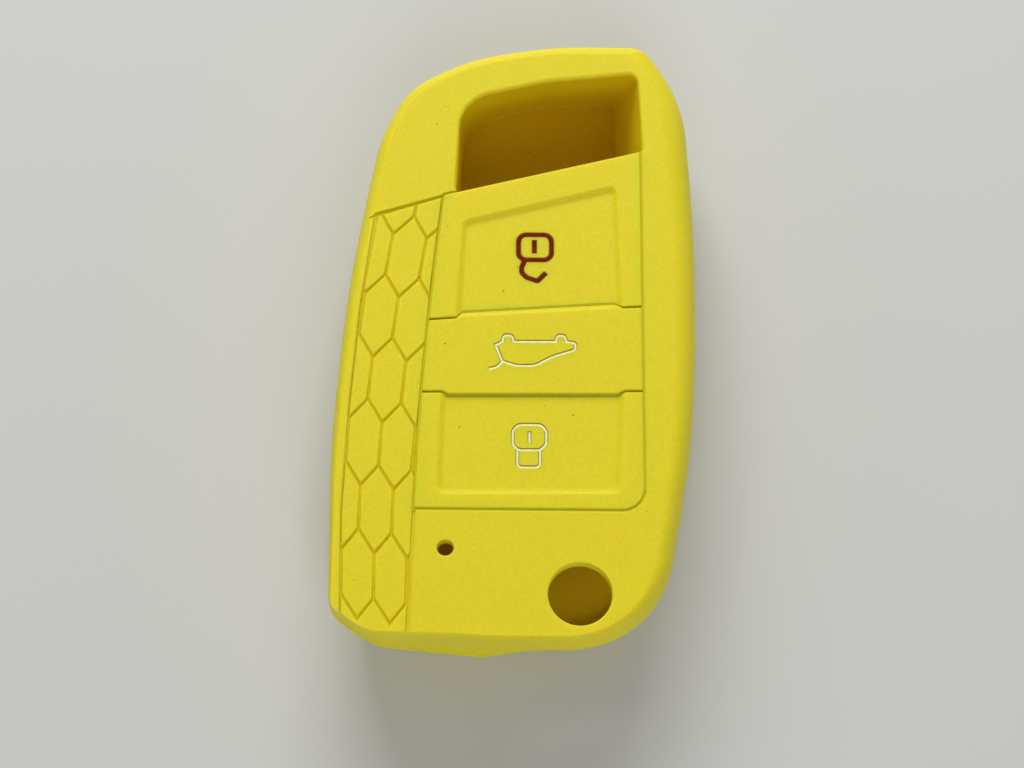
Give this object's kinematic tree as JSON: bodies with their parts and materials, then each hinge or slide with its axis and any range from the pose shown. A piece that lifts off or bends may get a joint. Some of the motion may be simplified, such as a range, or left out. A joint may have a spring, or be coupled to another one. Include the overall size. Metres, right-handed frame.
{
  "type": "key fob cover",
  "caption": "Soft moulded sleeve for a folding car key, with press pads in a grooved panel, a key ring window, a release button hole, a side slot for the blade and a honeycomb grip strip.",
  "frame": {"origin": "on the back face, under the middle of the cover's bounding box", "axes": "+X across the cover to the blade slot side, +Y along it to the key ring window, +Z out of the button face"},
  "size_m": [0.0439, 0.077, 0.018],
  "materials": {
    "silicone": "matte",
    "red_ink": "matte",
    "white_ink": "matte"
  },
  "bodies": {
    "sleeve": {"sleeve": "silicone", "unlock_button_web": "silicone", "boot_button_web": "silicone", "lock_button_web": "silicone"},
    "unlock_button": {"unlock_button": "silicone", "unlock_symbol_ink": "red_ink"},
    "boot_button": {"boot_button": "silicone", "boot_symbol_ink": "white_ink"},
    "lock_button": {"lock_button": "silicone", "lock_symbol_ink": "white_ink"}
  },
  "joints": [
    {"name": "unlock_press", "type": "slide", "parent": "sleeve", "child": "unlock_button", "axis": [0, 0, -1], "range_m": [0, 0.0005], "stiffness_N_per_m": 2000, "deforming": ["unlock_button_web"]},
    {"name": "boot_press", "type": "slide", "parent": "sleeve", "child": "boot_button", "axis": [0, 0, -1], "range_m": [0, 0.0005], "stiffness_N_per_m": 2000, "deforming": ["boot_button_web"]},
    {"name": "lock_press", "type": "slide", "parent": "sleeve", "child": "lock_button", "axis": [0, 0, -1], "range_m": [0, 0.0005], "stiffness_N_per_m": 2000, "deforming": ["lock_button_web"]}
  ]
}
